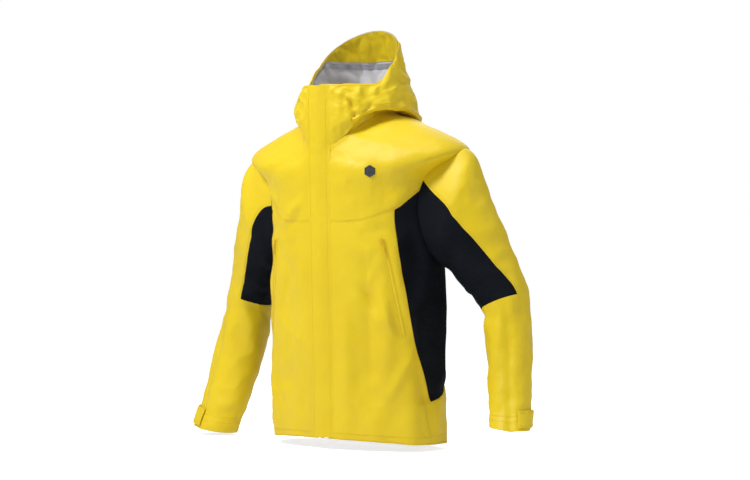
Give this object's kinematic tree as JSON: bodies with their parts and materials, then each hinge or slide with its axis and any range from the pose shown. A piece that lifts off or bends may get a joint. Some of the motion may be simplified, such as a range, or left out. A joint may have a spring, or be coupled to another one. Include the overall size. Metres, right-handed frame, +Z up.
{
  "type": "hooded hardshell jacket",
  "caption": "Hooded waterproof hardshell jacket with a flap-covered front zip, stretch side and underarm panels, zipped hand pockets, stiff hood brim and closable cuff tabs.",
  "frame": {"origin": "middle of the jacket's bounding box, at its lowest point, the back hem", "axes": "+Z up from the hem to the hood, -Y the way the wearer faces, +X the wearer's left; the jacket stands as if worn, arms hanging"},
  "size_m": [0.9502, 0.308, 0.9311],
  "materials": {
    "shell_fabric": "matt woven laminate, slight sheen",
    "stretch_fabric": "matt ribbed stretch weave",
    "lining_fabric": "matt knitted backer",
    "zip_plastic": "satin moulded teeth and woven tape",
    "zip_metal": "satin",
    "badge_rubber": "matt moulded"
  },
  "bodies": {
    "shell": {"back_panel": "shell_fabric", "back_yoke": "shell_fabric", "zip_tape_left": "zip_plastic", "zip_tape_right": "zip_plastic", "zip_chain": "zip_plastic", "zip_bottom_stop": "zip_metal", "inner_placket": "lining_fabric", "chest_badge": "badge_rubber", "hem_facing": "lining_fabric", "hanger_loop": "zip_plastic", "front_panel_left": "shell_fabric", "front_panel_right": "shell_fabric", "front_yoke_left": "shell_fabric", "front_yoke_right": "shell_fabric", "side_panel_left": "stretch_fabric", "side_panel_right": "stretch_fabric", "chin_guard_left": "shell_fabric", "chin_guard_right": "shell_fabric", "pocket_zip_left": "shell_fabric", "pocket_zip_right": "shell_fabric", "pocket_bag_left": "lining_fabric", "pocket_bag_right": "lining_fabric"},
    "hood": {"hood_side_left": "shell_fabric", "hood_side_right": "shell_fabric", "hood_centre": "shell_fabric", "hood_brim": "shell_fabric", "brim_facing": "shell_fabric", "hood_lining": "lining_fabric"},
    "storm_flap": {"storm_flap": "shell_fabric"},
    "zip_slider": {"zip_slider": "zip_metal", "zip_pull": "zip_metal"},
    "pocket_slider_left": {"pocket_slider_left": "zip_metal"},
    "pocket_pull_left": {"pocket_pull_left": "zip_plastic"},
    "upper_sleeve_left": {"sleeve_upper_left": "shell_fabric", "sleeve_gusset_left": "stretch_fabric"},
    "forearm_left": {"sleeve_forearm_left": "shell_fabric", "cuff_loop_patch_left": "zip_plastic"},
    "cuff_tab_left": {"cuff_tab_left": "shell_fabric", "cuff_hook_patch_left": "zip_plastic"},
    "pocket_slider_right": {"pocket_slider_right": "zip_metal"},
    "pocket_pull_right": {"pocket_pull_right": "zip_plastic"},
    "upper_sleeve_right": {"sleeve_upper_right": "shell_fabric", "sleeve_gusset_right": "stretch_fabric"},
    "forearm_right": {"sleeve_forearm_right": "shell_fabric", "cuff_loop_patch_right": "zip_plastic"},
    "cuff_tab_right": {"cuff_tab_right": "shell_fabric", "cuff_hook_patch_right": "zip_plastic"}
  },
  "joints": [
    {"name": "hood_fold_back", "type": "hinge", "parent": "shell", "child": "hood", "pos_m": [-0.00192, 0.09399, 0.72402], "axis": [-1, 0, 0], "range_deg": [0, 75]},
    {"name": "storm_flap_open", "type": "hinge", "parent": "shell", "child": "storm_flap", "pos_m": [0.0314, -0.1371, 0.411], "axis": [0, -0.0236, 0.9997], "range_deg": [0, 150]},
    {"name": "main_zip_slide", "type": "slide", "parent": "shell", "child": "zip_slider", "axis": [0, 0.0283, -0.9996], "range_m": [0, 0.735]},
    {"name": "pocket_zip_slide_left", "type": "slide", "parent": "shell", "child": "pocket_slider_left", "axis": [0.1587, 0.1335, -0.9783], "range_m": [0, 0.198]},
    {"name": "pocket_pull_swing_left", "type": "hinge", "parent": "pocket_slider_left", "child": "pocket_pull_left", "pos_m": [0.15329, -0.10554, 0.44703], "axis": [-0.8072, -0.553, -0.2064], "range_deg": [0, 90]},
    {"name": "shoulder_lift_left", "type": "hinge", "parent": "shell", "child": "upper_sleeve_left", "pos_m": [0.22808, 0.01699, 0.56002], "axis": [0, -1, 0], "range_deg": [0, 60]},
    {"name": "elbow_bend_left", "type": "hinge", "parent": "upper_sleeve_left", "child": "forearm_left", "pos_m": [0.35608, 0.00899, 0.32502], "axis": [-0.9341, 0, -0.3571], "range_deg": [0, 60]},
    {"name": "cuff_tab_open_left", "type": "hinge", "parent": "forearm_left", "child": "cuff_tab_left", "pos_m": [0.45946, -0.02773, 0.0823], "axis": [0.2342, -0.353, -0.9058], "range_deg": [0, 110]},
    {"name": "pocket_zip_slide_right", "type": "slide", "parent": "shell", "child": "pocket_slider_right", "axis": [-0.1587, 0.1335, -0.9783], "range_m": [0, 0.198]},
    {"name": "pocket_pull_swing_right", "type": "hinge", "parent": "pocket_slider_right", "child": "pocket_pull_right", "pos_m": [-0.15712, -0.10554, 0.44703], "axis": [-0.8072, 0.553, 0.2064], "range_deg": [0, 90]},
    {"name": "shoulder_lift_right", "type": "hinge", "parent": "shell", "child": "upper_sleeve_right", "pos_m": [-0.23192, 0.01699, 0.56002], "axis": [0, 1, 0], "range_deg": [0, 60]},
    {"name": "elbow_bend_right", "type": "hinge", "parent": "upper_sleeve_right", "child": "forearm_right", "pos_m": [-0.35992, 0.00899, 0.32502], "axis": [-0.9341, 0, 0.3571], "range_deg": [0, 60]},
    {"name": "cuff_tab_open_right", "type": "hinge", "parent": "forearm_right", "child": "cuff_tab_right", "pos_m": [-0.42793, -0.04118, 0.03906], "axis": [0.2157, 0.2109, 0.9534], "range_deg": [0, 110]}
  ]
}
